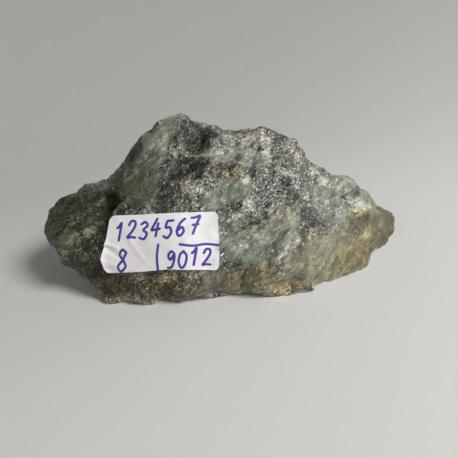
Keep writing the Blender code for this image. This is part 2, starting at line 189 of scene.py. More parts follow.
PALE_ZONES = [
    # the peak and the left side
    ((-12.2, -4.6, 31.8), (1.4, 3, 2.8), 0.6),
    ((-11.2, -2.4, 34.2), (2.2, 3.5, 1.6), 0.6),
    ((-9.2, -6.3, 30), (1.5, 3, 1.4), 0.3),
    ((-4.9, -6.5, 28), (1.4, 3, 0.9), 0.7),
    ((-28.3, -3.1, 22.6), (1.6, 3, 1.2), 0.9),
    ((-37, -11, 14), (6.5, 7, 7), 0.2),
    ((-33.4, -14.8, 15.6), (2.8, 3, 1.5), 0.8),
    ((-34.8, -14.8, 12.9), (1.6, 3, 0.9), 0.8),
    ((-31, -15, 11.6), (1.6, 3, 1.2), 0.7),
    ((-22.7, -3.7, 24.4), (1.5, 3, 1.4), 0.6),
    ((-22.9, -7.7, 20), (1.7, 3.5, 0.9), 0.6),
    ((-29.2, -14, 16.3), (1.6, 3, 1.1), 1),
    ((-17, -9.9, 23.4), (1.3, 3, 1.5), 0.4),
    ((-6.9, -11.7, 23.2), (2.4, 3, 1.4), 0.4),
    ((-8.6, -12.7, 20.6), (3.6, 3, 1.2), 0.5),
    # cream feldspar in the upper middle
    ((4.6, -1.2, 31.2), (5.4, 3, 1.4), 0.7),
    ((-1.2, -4.8, 28.9), (1.6, 3, 0.7), 1),
    ((0.6, -4.6, 29.2), (1.4, 3, 0.6), 0.9),
    ((2.3, -5.9, 27.8), (1.5, 3, 0.9), 0.9),
    ((2, -5.4, 28), (6, 3, 1.8), 0.55),
    ((5.3, -3.9, 29.8), (1.4, 3, 1.1), 1),
    ((9.7, -3.3, 30), (1.2, 3, 1.4), 0.9),
    ((9.4, -5.8, 27.4), (1.1, 3, 2.2), 0.8),
    ((1, -9.7, 25.2), (1.1, 3, 0.8), 0.8),
    ((4.6, -9.4, 24.4), (1.2, 3, 1.1), 1),
    ((4.3, -12.8, 19.4), (1.4, 3, 1.3), 0.8),
    ((1.4, -14.3, 17.6), (1.6, 3, 1.1), 0.6),
    ((14.2, -8.1, 24.1), (1.6, 3, 0.9), 0.9),
    ((17.1, -3.2, 25.4), (1.1, 3.5, 1.7), 0.7),
    # the shoulder and its white vein
    ((21, -3.6, 22.1), (1.9, 3, 1.2), 0.7),
    ((24, -3.4, 19.9), (1.3, 3, 1.2), 0.8),
    ((23.1, -8.2, 16.4), (0.9, 3, 0.8), 1),
    ((26.5, -3.9, 19.6), (4.2, 3.5, 2.4), 0.75),
    ((21.8, -5.6, 18.6), (3.4, 3.5, 2), 0.45),
    ((24.4, -4.3, 19.3), (1.6, 3, 0.7), 0.9),
    ((28.3, -5.2, 17.3), (1.3, 3, 0.8), 1),
    ((29.6, -6.2, 16.1), (1.2, 3, 0.9), 1),
    ((31.1, -7, 14.7), (1.5, 3, 0.9), 1),
    ((33, -6.4, 13.8), (1.5, 3, 0.7), 0.8),
    # the front
    ((10.2, -13.5, 17.4), (1.6, 3, 1.1), 0.5),
    ((1.5, -18.4, 11.4), (1.4, 3, 0.9), 0.9),
    ((2.7, -18.2, 12.5), (1.2, 3, 0.9), 0.9),
    ((6.3, -18.7, 7.3), (0.8, 3, 0.9), 1),
    ((7.1, -18.4, 8.2), (0.8, 3, 0.8), 1),
    ((9.9, -18.9, 9), (1.2, 3, 0.9), 0.8),
    ((11.3, -18.5, 9.8), (1.3, 3, 0.9), 0.9),
    ((12.9, -17.7, 10.9), (1.4, 3, 1), 0.9),
    ((14.4, -17.4, 12.2), (1.3, 3, 1), 0.75),
    ((18.8, -17.7, 10.8), (2.4, 3, 1), 0.25),
    ((31.4, -9.6, 8.6), (1.5, 3, 1.4), 0.9),
    ((36.8, -4.7, 11.7), (2.2, 3, 0.9), 0.6),
    ((30.6, -7.6, 13.8), (1.1, 3, 0.9), 1),
    ((11.2, -19.7, 2.4), (2.1, 3, 1.8), 0.8),
    ((0.2, -19.1, 4.3), (1.8, 3, 2.2), 0.5),
    # the back
    ((6, 13, 20), (5, 6, 2), 0.7),
    ((-12, 12, 25), (2, 7, 4), 0.6),
    ((22, 12, 12), (3, 6, 2), 0.8),
    ((-34, 6, 13), (3, 5, 2), 0.6),
]
# Rust, and a painted reflection of warm light from below along the lower edge, under the label and at the
# right end.
RUST_AND_BOUNCE_ZONES = [
    # the left side and below the label
    ((-28.3, -2.8, 22.8), (2.4, 3.5, 1.6), 0.9),
    ((-28, -17, 5), (7, 5, 5), 0.7),
    ((-20, -18.5, 4.2), (8, 5, 3.6), 0.5),
    ((-13.8, -19.4, 5.1), (6, 3.5, 3.4), 0.8),
    # the middle and the lower edge
    ((1.5, -9, 25.8), (4.2, 3, 1.2), 0.65),
    ((12.9, -14.4, 16.9), (3.2, 3, 1.6), 0.25),
    ((17.5, -17.9, 10.5), (5, 4, 4.5), 0.35),
    ((25, -14, 8.5), (5, 5, 5), 0.4),
    ((5.5, -19.6, 6), (3.5, 3.5, 2.6), 0.6),
    ((11.2, -19.7, 2.8), (4, 3.5, 2.8), 0.9),
    ((8, -19, 4.6), (22, 6, 4.6), 0.4),
    ((0.2, -19.1, 4.1), (2.5, 3, 2.8), 0.8),
    # the right end
    ((38, -6.6, 7.6), (5, 6, 4.2), 1),
    ((31, -9.4, 11.4), (5, 4.5, 3.4), 0.8),
    ((30.8, -12.1, 5), (7, 6, 3.6), 1),
    ((24.9, -15.1, 2.8), (4.2, 3.5, 2.6), 0.6),
    ((35.8, -4.8, 13), (3.4, 4, 2), 0.3),
    ((36.4, -6, 10.2), (4, 5, 1), 0.7),
    ((30.1, -11.7, 5.6), (9, 7, 4.4), 0.4),
    # the back
    ((-8, 18, 6), (11, 6, 5), 0.6),
    ((22, 14, 9), (6, 5, 3), 0.7),
]
GREEN_ZONES = [
    # the left side and the peak
    ((-38, -10, 14), (16, 16, 14), 0.7),
    ((-24, -8, 21.5), (7, 6, 5), 0.7),
    ((-12.6, -3, 34.2), (4, 4.5, 3.2), 0.4),
    ((-15, -5, 29.6), (5, 5, 5), 0.25),
    # the front, the middle and the right end
    ((7, -17.5, 13), (5, 4, 4), 0.3),
    ((2, -11, 22.5), (5, 4, 3), 0.3),
    ((31, -9, 11), (6, 5, 4), 0.25),
    # the back
    ((-13, 12, 24), (8, 8, 5), 0.8),
    ((-25, 12, 12), (14, 10, 10), 0.6),
]
BLUE_ZONES = [
    # the peak
    ((-10.6, -1.8, 35.8), (3.4, 4.5, 2.2), 1),
    ((-13.6, -5, 31.4), (3.2, 4, 3.4), 0.6),
    # the upper middle
    ((2, -5.5, 28), (6.5, 4, 2.6), 1),
    ((1.7, -10.9, 22.5), (4.4, 4, 2.8), 0.5),
    # the front and the foot
    ((5, -17.7, 12.4), (3.4, 4, 2.2), 0.9),
    ((1.4, -18.6, 9.6), (2.6, 3, 1.4), 0.6),
    ((-2.4, -19.2, 6.6), (2.2, 3.5, 2.2), 0.5),
    # the shoulder and the right end
    ((22, -6, 18.4), (5.4, 5, 2.6), 1),
    ((25, -12.2, 9.4), (3.6, 4, 2.8), 0.9),
    ((18.8, -17, 8), (2.6, 4, 2), 0.5),
    ((36.8, -4.7, 11.7), (2.6, 3.5, 1.2), 0.6),
    # the left end
    ((-34, -14.8, 14.6), (3, 3.5, 2.4), 0.9),
]
ZONES = {
    "beryl": BERYL_ZONES, "shade_and_dark": SHADE_AND_DARK_ZONES, "pale": PALE_ZONES, "rust_and_bounce": RUST_AND_BOUNCE_ZONES, "green": GREEN_ZONES,
    "blue": BLUE_ZONES,
}
# A zone fades between these two shares of its radii.
ZONE_INNER, ZONE_OUTER = 0.7, 1.2
# The noise that frays the zones: the sizes of its lumps, how far each moves things, and its seed.
WARPS = [(4.0, 0.8), (1.3, 0.5)]
WARP_SEED = 7

# The fine mesh: the size of its faces, how far crystals grow to meet the schist, in how many rounds heights
# spread over the seams between them, and how often it is smoothed to lose the solids' facets.
ROCK_GRID = 0.36
SEAM_GROWTH, SEAM_ROUNDS = 0.38, 8
ROCK_SMOOTHING = 6
# Corners this close are one, and two surfaces face the same way when their normals agree this well.
WELD, SAME_WAY = 0.001, 0.8
TINY = 1e-9

# Broken faces on the surface: their spacing, how steeply they lean, how far they step and a seed.
ROCK_BREAKS = [(3.4, 0.12, 0.16, 31), (1.5, 0.12, 0.06, 32)]
# How many of the nearest count, and how far they blend and are scattered, as shares of the spacing.
NEAREST_SITES, FACE_BLEND, SITE_JITTER = 6, 0.24, 0.45
# Grit: the sizes of its lumps and how high they are.
GRIT = [(0.9, 0.025), (0.5, 0.02)]
# How far round a vertex its hollow is measured, in rounds of smoothing.
HOLLOW_ROUNDS = 12

# Where the surface lies a little further in than the solids, or further out: centre, radii and depth.
DENTS = [
    ((-15.6, -1, 35.4), (3.4, 6, 3.4), 0.9),
    ((-42, -5.4, 18.6), (3.6, 7, 5), -0.8),
    ((-41.4, -8.5, 13), (4.4, 6, 4.4), -1.1),
    ((-37.2, -11.5, 7.6), (3.6, 5, 3.6), 0.3),
    ((-31.2, 2.5, 22.4), (5, 8, 3.4), 1.5),
    ((17.6, -1.4, 29.6), (3.4, 6, 3.4), 0.9),
    ((19, -17.8, 0.4), (3.2, 5, 2.6), 0.6),
    ((34.6, -8.9, 0.8), (4.5, 5, 3.2), 1.5),
    ((41.6, -5.2, 5.2), (3, 5, 3.2), 0.5),
    ((26, 0, 21.6), (4.5, 6, 3), 0.5),
]

# Where sharp corners of the solids are worn round, or a pit is filled: centre and radii. Up to a share of
# the radii, the core, the wear is full.
WORN_SPOTS = [
    ((-13.9, -0.7, 35.6), (3.2, 4, 3)),
    ((-26, -3.8, 19.2), (4, 5.5, 4.6)),
    ((37.4, -6, 9.4), (4.2, 4.6, 4)),
    ((30.2, -4.6, 17.6), (2.8, 3.6, 2.8)),
    ((22.9, -14.8, 4), (2.6, 3.4, 3.2)),
]
WEAR_ROUNDS, WEAR_CORE = 24, 0.4

# A crystal's hidden side and the schist below it, as shares of the way out from the crystal's middle.
CRYSTAL_INSIDE, POCKET_FLOOR = 0.90, 0.86

CRYSTALS = [
    "emerald_crystal_top", "emerald_crystal_upper", "emerald_crystal_front",
    "emerald_crystal_right", "emerald_crystal_foot",
]


# Small helpers for meshes

def new_object(name, mesh):
    obj = bpy.data.objects.new(name, mesh)
    bpy.context.scene.collection.objects.link(obj)
    return obj


def with_modifier(mesh, kind, **settings):
    """The mesh after a modifier."""
    obj = new_object("work", mesh)
    modifier = obj.modifiers.new(kind.title(), kind)
    for key, value in settings.items():
        setattr(modifier, key, value)
    made = bpy.data.meshes.new_from_object(obj.evaluated_get(bpy.context.evaluated_depsgraph_get()))
    bpy.data.objects.remove(obj, do_unlink=True)
    return made


def coordinates(mesh):
    points = np.empty(len(mesh.vertices) * 3)
    mesh.vertices.foreach_get("co", points)
    return points.reshape(-1, 3) / MM


def normals(mesh):
    found = np.empty(len(mesh.vertices) * 3)
    mesh.vertex_normals.foreach_get("vector", found)
    return found.reshape(-1, 3)


def move_points(mesh, points):
    mesh.vertices.foreach_set("co", (points * MM).ravel())
    mesh.update()


def store(mesh, name, values):
    """Keeps one number for each vertex, for a material to read."""
    layer = mesh.attributes.new(name, "FLOAT", "POINT")
    layer.data.foreach_set("value", np.asarray(values, np.float32))


def smooth_step(low, high, values):
    share = np.clip((values - low) / (high - low), 0, 1)
    return share * share * (3 - 2 * share)


# Surface detail

def noise_values(points, size):
    """Smooth noise between about -1 and 1, whose lumps have the given size."""
    return np.array([noise.noise(Vector(p) / size) for p in points])


def warped(points):
    """Points moved about by noise, so that the zones' edges are ragged."""
    noise.seed_set(WARP_SEED)
    moved = points.copy()
    for size, reach in WARPS:
        moved += reach * np.array([noise.noise_vector(Vector(p) / size) for p in points])
    return moved


def zone_field(points, zones):
    """How strongly the zones hold at each point, from 0 to 1."""
    clear = np.ones(len(points))
    for centre, radii, strength in zones:
        distance = np.linalg.norm((points - centre) / radii, axis=1)
        clear *= 1 - strength * (1 - smooth_step(ZONE_INNER, ZONE_OUTER, distance))
    return 1 - clear


def scattered_sites(points, spacing, rng):
    """Points scattered evenly through the box of the given points."""
    low, high = points.min(axis=0) - spacing, points.max(axis=0) + spacing
    steps = [np.arange(a, b + spacing, spacing) for a, b in zip(low, high)]
    grid = np.stack(np.meshgrid(*steps, indexing="ij"), axis=-1).reshape(-1, 3)
    return grid + rng.uniform(-SITE_JITTER, SITE_JITTER, grid.shape) * spacing


def layered(points):
    """Points drawn together along the layers, in which things are longer than they are wide."""
    along = np.array(LAYER_ALONG)
    return points - np.outer(points @ along, along) * (1 - 1 / LAYER_STRETCH)


def broken_faces(points, spacing, lean, step, seed):
    """Heights of a surface broken into flat faces, each of which blends into the next over a short way."""
    rng = np.random.default_rng(seed)
    flat = layered(points)
    sites = scattered_sites(flat, spacing, rng)
    leans = rng.normal(0, lean, sites.shape)
    offsets = rng.normal(0, step, len(sites))
    tree = kdtree.KDTree(len(sites))
    for number, site in enumerate(sites):
        tree.insert(site, number)
    tree.balance()
    near = np.array([[found[1] for found in tree.find_n(p, NEAREST_SITES)] for p in flat])
    away = flat[:, None, :] - sites[near]
    planes = offsets[near] + np.sum(away * leans[near], axis=2)
    weights = np.exp(-np.sum(away ** 2, axis=2) / (FACE_BLEND * spacing) ** 2 / 2)
    return np.sum(planes * weights, axis=1) / np.maximum(weights.sum(axis=1), TINY)


def edge_ends(mesh):
    ends = np.empty(len(mesh.edges) * 2, int)
    mesh.edges.foreach_get("vertices", ends)
    return ends.reshape(-1, 2)


def spread(values, ends, rounds):
    """Values averaged with their neighbours' along the mesh's edges."""
    count = np.bincount(ends.ravel(), minlength=len(values))
    for _ in range(rounds):
        total = np.zeros_like(values)
        for axis in range(values.shape[1]):
            total[:, axis] = np.bincount(ends[:, 0], values[ends[:, 1], axis], len(values))
            total[:, axis] += np.bincount(ends[:, 1], values[ends[:, 0], axis], len(values))
        values = 0.5 * values + 0.5 * total / count[:, None]
    return values


def cavity(mesh):
    """How far each vertex lies below the surface around it, in millimetres: above 0 in a hollow."""
    points = coordinates(mesh)
    around = spread(points, edge_ends(mesh), HOLLOW_ROUNDS)
    return np.sum((around - points) * normals(mesh), axis=1)


def makeup(mesh):
    """What the rock is made of at each vertex, and where shade and warm reflected light are painted on it.
    """
    points = warped(coordinates(mesh))
    return {name: zone_field(points, zones) for name, zones in ZONES.items()}


def mesh_of(bm, name):
    """A mesh of what is in the editing mesh, which it closes."""
    mesh = bpy.data.meshes.new(name)
    bm.to_mesh(mesh)
    bm.free()
    return mesh


def joined(meshes):
    """Several meshes in one, and for each face the number of the mesh that it comes from."""
    bm = bmesh.new()
    owners = []
    for number, mesh in enumerate(meshes):
        bm.from_mesh(mesh)
        owners += [number] * len(mesh.polygons)
    return mesh_of(bm, "joined"), np.array(owners)


def face_tree(mesh):
    return BVHTree.FromPolygons([v.co for v in mesh.vertices], [p.vertices[:] for p in mesh.polygons])


def grown(solid, reach):
    """A copy of a solid whose faces all lie further out, and still meet."""
    bm = bmesh.new()
    bm.from_mesh(solid)
    bmesh.ops.remove_doubles(bm, verts=bm.verts, dist=WELD * MM)
    copy = mesh_of(bm, "grown")
    move_points(copy, coordinates(copy) + normals(copy) * reach)
    return copy


def whole_rock():
    """The schist and its crystals as one fine closed surface, and the number of each vertex's solid."""
    solids = [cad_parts[name].data for name in ["schist_matrix"] + CRYSTALS]
    overlapping, _ = joined([solids[0]] + [grown(solid, SEAM_GROWTH) for solid in solids[1:]])
    mesh = with_modifier(overlapping, "REMESH", mode="VOXEL", voxel_size=ROCK_GRID * MM)
    points, out = coordinates(mesh), normals(mesh)
    apart, face_owners = joined(solids)
    tree = face_tree(apart)
    places, directions, faces, _ = zip(*[tree.find_nearest(v.co) for v in mesh.vertices])
    rise = np.sum((np.array(places) / MM - points) * out, axis=1)
    facing = np.sum(np.array(directions) * out, axis=1)
    sure = np.stack([rise, np.ones(len(rise))], axis=1) * (facing > SAME_WAY)[:, None]
    filled = spread(sure, edge_ends(mesh), SEAM_ROUNDS)
    rise = np.where(facing > SAME_WAY, rise, filled[:, 0] / np.maximum(filled[:, 1], TINY))
    move_points(mesh, points + out * rise[:, None])
    smooth = with_modifier(mesh, "SMOOTH", factor=0.5, iterations=ROCK_SMOOTHING)
    return smooth, face_owners[list(faces)]


def dented(points, out):
    """The points after the dents, each of which presses its spot in one way, against its mean normal."""
    moved = points.copy()
    for centre, radii, depth in DENTS:
        share = 1 - smooth_step(0, 1, np.linalg.norm((points - centre) / radii, axis=1))
        outward = share @ out
        moved -= np.outer(share, depth * outward / np.linalg.norm(outward))
    return moved


def worn(points, ends):
    """The points after the worn spots are smoothed towards their neighbours."""
    around = spread(points, ends, WEAR_ROUNDS)
    for centre, radii in WORN_SPOTS:
        share = 1 - smooth_step(WEAR_CORE, 1, np.linalg.norm((points - centre) / radii, axis=1))
        points = points + share[:, None] * (around - points)
    return points


def roughen(mesh, beryl):
    """Adds small broken faces, grit where there is no beryl, dents and worn spots, all above the floor."""
    points, out = coordinates(mesh), normals(mesh)
    height = sum(broken_faces(points, *settings) for settings in ROCK_BREAKS)
    height = height + (1 - beryl) * sum(reach * noise_values(points, size) for size, reach in GRIT)
    points = worn(dented(points + out * height[:, None], out), edge_ends(mesh))
    points[:, 2] = np.maximum(points[:, 2], 0)
    move_points(mesh, points)


def patch_of(faces, owners, number):
    """The faces that touch a crystal's vertices, the vertices inside them and those on their border."""
    patch = faces[(owners[faces] == number).any(axis=1)]
    sides = np.stack([patch, np.roll(patch, -1, axis=1)], axis=-1).reshape(-1, 2)
    lines, times = np.unique(np.sort(sides, axis=1), axis=0, return_counts=True)
    border = np.unique(lines[times == 1])
    return patch, np.setdiff1d(patch, border), border


def crystal_mesh(points, values, patch, inner, border):
    """A closed shell: the patch of the rock's surface, and a copy of it drawn inward but for its border."""
    middle = points[inner].mean(axis=0)
    outer = np.concatenate([inner, border])
    place = {vertex: number for number, vertex in enumerate(outer)}
    front = np.vectorize(place.get)(patch)
    back = np.where(front < len(inner), front + len(outer), front)[:, ::-1]
    inside = middle + (points[inner] - middle) * CRYSTAL_INSIDE
    mesh = bpy.data.meshes.new("crystal")
    corners = np.concatenate([points[outer], inside]) * MM
    mesh.from_pydata(corners.tolist(), [], np.concatenate([front, back]).tolist())
    for name, held in values.items():
        store(mesh, name, np.concatenate([held[outer], held[inner]]))
    return mesh, middle


# Small helpers for materials

def set_inputs(tree, node, inputs):
    """Sets a node's inputs to values, or links them to sockets."""
    for key, value in inputs.items():
        if isinstance(value, bpy.types.NodeSocket):
            tree.links.new(value, node.inputs[key])
        else:
            node.inputs[key].default_value = value


def add_node(tree, kind, inputs=None, **settings):
    """A new shader node with its settings and inputs."""
    made = tree.nodes.new("ShaderNode" + kind)
    for key, value in settings.items():
        setattr(made, key, value)
    set_inputs(tree, made, inputs or {})
    return made


def calc(tree, operation, *values, clamp=False):
    return add_node(tree, "Math", dict(enumerate(values)), operation=operation, use_clamp=clamp).outputs[0]


def vector_calc(tree, operation, first, second):
    inputs = {0: first, ("Scale" if operation == "SCALE" else 1): second}
    return add_node(tree, "VectorMath", inputs, operation=operation).outputs[0]


def mixed(tree, share, first, second, blend="MIX"):
    """One colour mixed with another by a share."""
    inputs = {0: share, 6: first, 7: second}
    return add_node(tree, "Mix", inputs, data_type="RGBA", blend_type=blend, clamp_factor=True).outputs[2]


def blended(tree, share, first, second):
    """One number mixed with another by a share."""
    return add_node(tree, "Mix", {0: share, 2: first, 3: second}).outputs[0]


def smooth_share(tree, value, low, high):
    inputs = {"Value": value, "From Min": low, "From Max": high}
    return add_node(tree, "MapRange", inputs, interpolation_type="SMOOTHSTEP").outputs[0]


def attribute(tree, name):
    return add_node(tree, "Attribute", attribute_name=name).outputs["Fac"]


def in_layers(tree, place, stretch):
    """Places turned so that X runs along the layers, and drawn together along them."""
    turn = LAYER_ALONG.to_track_quat("X", "Z").to_euler()
    inputs = {"Vector": place, "Rotation": turn, "Scale": (stretch, 1, 1)}
    return add_node(tree, "Mapping", inputs, vector_type="TEXTURE").outputs[0]


def noise_node(tree, place, size, detail, roughness, stretch=None):
    """Noise whose lumps have the given size, and are longer along the layers if there is a stretch."""
    if stretch:
        place = in_layers(tree, place, stretch)
    inputs = {"Vector": place, "Scale": 1 / size, "Detail": detail, "Roughness": roughness}
    return add_node(tree, "TexNoise", inputs)


def pattern(tree, place, settings):
    """The grey value of noise with the given settings."""
    return noise_node(tree, place, *settings).outputs[0]


def grain_values(tree, place, size):
    """A random colour for each of the grains that fill the rock."""
    return add_node(tree, "TexVoronoi", {"Vector": place, "Scale": 1 / size}).outputs["Color"]


def channels(tree, colour):
    return add_node(tree, "SeparateColor", {0: colour}).outputs


def ramp(tree, value, stops):
    """A colour read from a scale of (position, colour) stops."""
    made = add_node(tree, "ValToRGB", {0: value})
    marks = made.color_ramp.elements
    while len(marks) < len(stops):
        marks.new(0.5)
    for mark, (position, colour) in zip(marks, stops):
        mark.position = position
        mark.color = (*colour, 1)
    return made.outputs[0]


def new_material(name):
    """A material, its node tree, its shader and a socket that gives the place in millimetres."""
    made = bpy.data.materials.new(name)
    made.use_nodes = True
    tree = made.node_tree
    place = add_node(tree, "TexCoord").outputs["Object"]
    return made, tree, tree.nodes["Principled BSDF"], vector_calc(tree, "SCALE", place, 1 / MM)


# The rock's materials

GRAIN_STOPS = [
    (0.10, (0.018, 0.018, 0.014)),
    (0.28, (0.050, 0.050, 0.040)),
    (0.42, (0.100, 0.100, 0.084)),
    (0.56, (0.170, 0.168, 0.146)),
    (0.70, (0.290, 0.281, 0.245)),
    (0.84, (0.500, 0.480, 0.418)),
    (1.00, (0.820, 0.785, 0.705)),
]
BERYL_STOPS = [
    (0.20, (0.100, 0.110, 0.082)),
    (0.38, (0.175, 0.187, 0.146)),
    (0.50, (0.236, 0.246, 0.194)),
    (0.62, (0.318, 0.318, 0.245)),
    (0.74, (0.435, 0.420, 0.312)),
    (0.90, (0.590, 0.570, 0.450)),
]
# GLINT is a painted glint: a bright speck of colour that stands in for light reflected off mica.
THREAD, GLINT, BLACK_MICA = (0.52, 0.51, 0.41, 1), (0.86, 0.85, 0.83, 1), (0.022, 0.021, 0.020, 1)
FELDSPAR, DULL_FELDSPAR = (0.78, 0.745, 0.62, 1), (0.29, 0.28, 0.225, 1)
# Tints that colours are multiplied by. SHADOW is painted shade, and the rust tint also holds a painted warm
# reflection.
BLUISH, RUST_AND_BOUNCE, GREEN = (0.90, 0.97, 1.05, 1), (1.0, 0.81, 0.49, 1), (0.91, 1.0, 0.78, 1)
SHADOW, VIOLET_TINT, GREEN_TINT = (0.27, 0.25, 0.185, 1), (1.0, 0.965, 1.0, 1), (0.95, 1.0, 0.94, 1)

# Noise patterns: their lumps' size, detail, roughness and, where they follow the layers, stretch.
WOBBLE, TINT_PATCHES = (0.6, 2.0, 0.5), (2.4, 2.0, 0.5)
SCHIST_CLOUDS, FELDSPAR_LUMPS = (2.6, 5.0, 0.62, 1.8), (0.9, 4.0, 0.7, 1.4)
BERYL_STREAKS, BERYL_CLOUDS, BERYL_HAIRS = (1.1, 5.0, 0.68, 3.6), (3.8, 3.0, 0.5), (0.32, 2.0, 0.6, 6.0)
BERYL_THREADS, BERYL_HUES, BERYL_GLOSS = (0.6, 3.0, 0.6, 7.0), (6.0, 2.0, 0.5), (1.6, 3.0, 0.5)
BERYL_FRAY = (1.8, 4.0, 0.65, 2.0)
SCHIST_RELIEF, BERYL_RELIEF = (0.5, 3.0, 0.6), (0.6, 3.0, 0.6, 4.0)

# The middle of random colours, from which they go either way.
HALF = (0.5, 0.5, 0.5)
# The sizes of fine and middle grains, how far a wobble bends their sides, and between which of their random
# values they turn into black mica and painted glints.
FINE_GRAIN, MIDDLE_GRAIN, GRAIN_WOBBLE = 0.20, 0.46, 0.5
BLACK_GRAINS, SCHIST_GLINTS, BERYL_GLINTS = (0.08, 0.03), (0.95, 0.97), (0.994, 0.997)
# Between which values of their patterns things set in.
PATCH_EDGE, THREAD_EDGE, BLUE_EDGE = (0.40, 0.60), (0.56, 0.70), (0.56, 0.38)
BERYL_EDGE, FELDSPAR_EDGE = (0.14, 0.66), (0.60, 0.72)
# How far pale zones, shaded zones and hollows shift the colour along its scale; the last two shifts are
# painted shade.
SCHIST_SHIFTS, BERYL_SHIFTS = (0.16, 0.14, 0.5), (0.16, 0.14, 0.4)
# How far grains tilt the surface, and how strong and how high its relief is.
SCHIST_TILT, BERYL_TILT = 0.50, 0.12
RELIEF_STRENGTH, RELIEF_HEIGHT = 0.6, 0.16
# Light goes a little way into the crystals.
BERYL_DEPTH = 0.9
BERYL_LIGHT = {
    "Subsurface Weight": 0.2, "Subsurface Radius": (1.0, 1.3, 1.0), "Subsurface Scale": BERYL_DEPTH * MM,
    "IOR": 1.57,
}


def centred(tree, value, scale, onto):
    """Adds to a value a random or noise value that is scaled about its middle, a half."""
    return calc(tree, "ADD", onto, calc(tree, "MULTIPLY_ADD", value, scale, -0.5 * scale))


def grain_places(tree, place):
    """Places along the layers with a small wobble, so that no grain has straight sides."""
    along = in_layers(tree, place, LAYER_STRETCH)
    wobble = vector_calc(tree, "SUBTRACT", noise_node(tree, place, *WOBBLE).outputs["Color"], HALF)
    return vector_calc(tree, "ADD", along, vector_calc(tree, "SCALE", wobble, GRAIN_WOBBLE))


def zone_shift(tree, value, pale, shade_and_dark, hollow):
    """Makes a value higher in pale zones, and lower where shade is painted: in the shaded zones and in
    hollows.
    """
    value = calc(tree, "MULTIPLY_ADD", attribute(tree, "pale"), pale, value)
    value = calc(tree, "MULTIPLY_ADD", attribute(tree, "shade_and_dark"), -shade_and_dark, value)
    return calc(tree, "MULTIPLY_ADD", attribute(tree, "hollow"), -hollow, value)


def grain_colour(tree, place, fine, middle):
    """The schist: grey quartz, cream feldspar and black mica in fine grains, with small painted glints."""
    value = centred(tree, fine[0], 0.48, pattern(tree, place, SCHIST_CLOUDS))
    value = centred(tree, middle[0], 0.22, value)
    colour = ramp(tree, zone_shift(tree, value, *SCHIST_SHIFTS), GRAIN_STOPS)
    patches = smooth_share(tree, pattern(tree, place, TINT_PATCHES), *PATCH_EDGE)
    colour = mixed(tree, 1.0, colour, mixed(tree, patches, VIOLET_TINT, GREEN_TINT), "MULTIPLY")
    colour = mixed(tree, smooth_share(tree, middle[1], *BLACK_GRAINS), colour, BLACK_MICA)
    return mixed(tree, smooth_share(tree, fine[1], *SCHIST_GLINTS), colour, GLINT)


def beryl_colour(tree, place, fine, middle):
    """Pale green beryl, cloudy and streaked along the layers, with a few painted glints in it."""
    clouds = calc(tree, "MULTIPLY", pattern(tree, place, BERYL_CLOUDS), 0.40)
    value = calc(tree, "MULTIPLY_ADD", pattern(tree, place, BERYL_STREAKS), 0.80, clouds)
    value = calc(tree, "SUBTRACT", value, 0.13)
    value = centred(tree, pattern(tree, place, BERYL_HAIRS), 0.44, value)
    value = centred(tree, fine[0], 0.27, value)
    value = centred(tree, middle[0], 0.08, value)
    colour = ramp(tree, zone_shift(tree, value, *BERYL_SHIFTS), BERYL_STOPS)
    blue = smooth_share(tree, pattern(tree, place, BERYL_HUES), *BLUE_EDGE)
    blue = calc(tree, "MAXIMUM", calc(tree, "MULTIPLY", blue, 0.7), attribute(tree, "blue"))
    colour = mixed(tree, blue, colour, BLUISH, "MULTIPLY")
    threads = smooth_share(tree, pattern(tree, place, BERYL_THREADS), *THREAD_EDGE)
    colour = mixed(tree, calc(tree, "MULTIPLY", threads, 0.6), colour, THREAD)
    return mixed(tree, smooth_share(tree, fine[2], *BERYL_GLINTS), colour, GLINT)


def is_beryl_share(tree, place, fine, middle):
    """How much of the surface is beryl: the zones, with edges frayed by noise and by single grains."""
    share = centred(tree, pattern(tree, place, BERYL_FRAY), 0.9, attribute(tree, "beryl"))
    share = centred(tree, middle[2], 0.30, share)
    share = centred(tree, fine[2], 0.20, share)
    return smooth_share(tree, share, *BERYL_EDGE)


def feldspar_share(tree, place, is_beryl, fine, middle):
    """Cream feldspar: ragged lumps in the schist, next to none in the beryl, and the most in pale zones."""
    lumps = pattern(tree, place, FELDSPAR_LUMPS)
    value = calc(tree, "MULTIPLY_ADD", attribute(tree, "pale"), 0.22, lumps)
    value = calc(tree, "MULTIPLY_ADD", is_beryl, -0.08, value)
    value = centred(tree, middle[1], 0.10, value)
    share = smooth_share(tree, centred(tree, fine[0], 0.18, value), *FELDSPAR_EDGE)
    return calc(tree, "MULTIPLY", share, calc(tree, "MULTIPLY_ADD", fine[1], 0.4, 0.55))


def rock_normal(tree, place, is_beryl, fine_colour):
    """Grains that each face their own way, and so glitter, on fine relief."""
    amount = blended(tree, is_beryl, SCHIST_TILT, BERYL_TILT)
    tilt = vector_calc(tree, "SCALE", vector_calc(tree, "SUBTRACT", fine_colour, HALF), amount)
    facing = vector_calc(tree, "ADD", add_node(tree, "NewGeometry").outputs["Normal"], tilt)
    facing = add_node(tree, "VectorMath", {0: facing}, operation="NORMALIZE").outputs[0]
    streaks = calc(tree, "MULTIPLY", pattern(tree, place, BERYL_RELIEF), 0.9)
    relief = blended(tree, is_beryl, pattern(tree, place, SCHIST_RELIEF), streaks)
    inputs = {"Height": relief, "Normal": facing}
    inputs |= {"Strength": RELIEF_STRENGTH, "Distance": RELIEF_HEIGHT * MM}
    return add_node(tree, "Bump", inputs).outputs[0]


